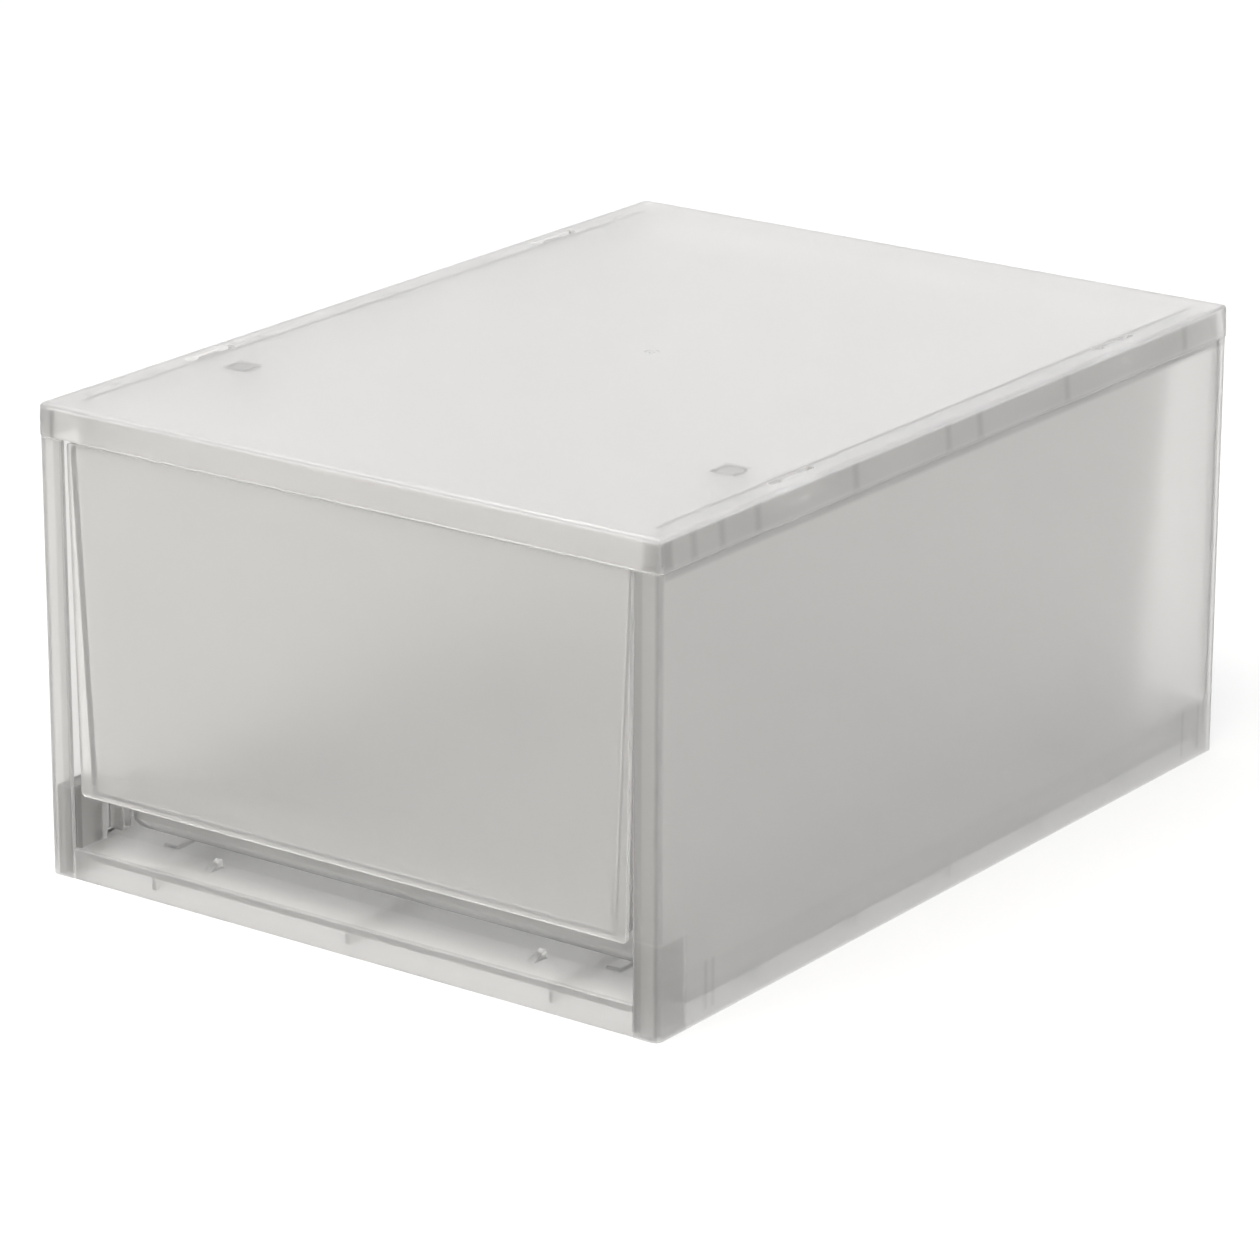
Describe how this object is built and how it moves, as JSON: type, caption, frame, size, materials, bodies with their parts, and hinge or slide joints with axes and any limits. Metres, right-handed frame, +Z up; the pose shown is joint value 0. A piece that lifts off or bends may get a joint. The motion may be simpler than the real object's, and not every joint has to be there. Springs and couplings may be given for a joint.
{
  "type": "shoe storage drawer case",
  "caption": "Stackable box for a pair of shoes: translucent moulded case with a full-width pull-out drawer and a finger recess at its foot.",
  "frame": {"origin": "middle of the footprint, on the surface that the case stands on", "axes": "+X to the right, +Y to the back, +Z up; the drawer opens towards -Y"},
  "size_m": [0.26, 0.35, 0.17],
  "materials": {
    "case_plastic": "natural translucent polypropylene, fine satin texture",
    "top_plastic": "natural translucent polypropylene, fine satin texture with polished skirt",
    "drawer_plastic": "natural translucent polypropylene, satin outside and smooth inside"
  },
  "bodies": {
    "case": {"base_panel": "case_plastic", "left_side_panel": "case_plastic", "right_side_panel": "case_plastic", "back_panel": "case_plastic", "top_panel": "top_plastic"},
    "drawer": {"drawer": "drawer_plastic"}
  },
  "joints": [
    {"name": "drawer_slide", "type": "slide", "parent": "case", "child": "drawer", "axis": [0, -1, 0], "range_m": [0, 0.25]}
  ]
}
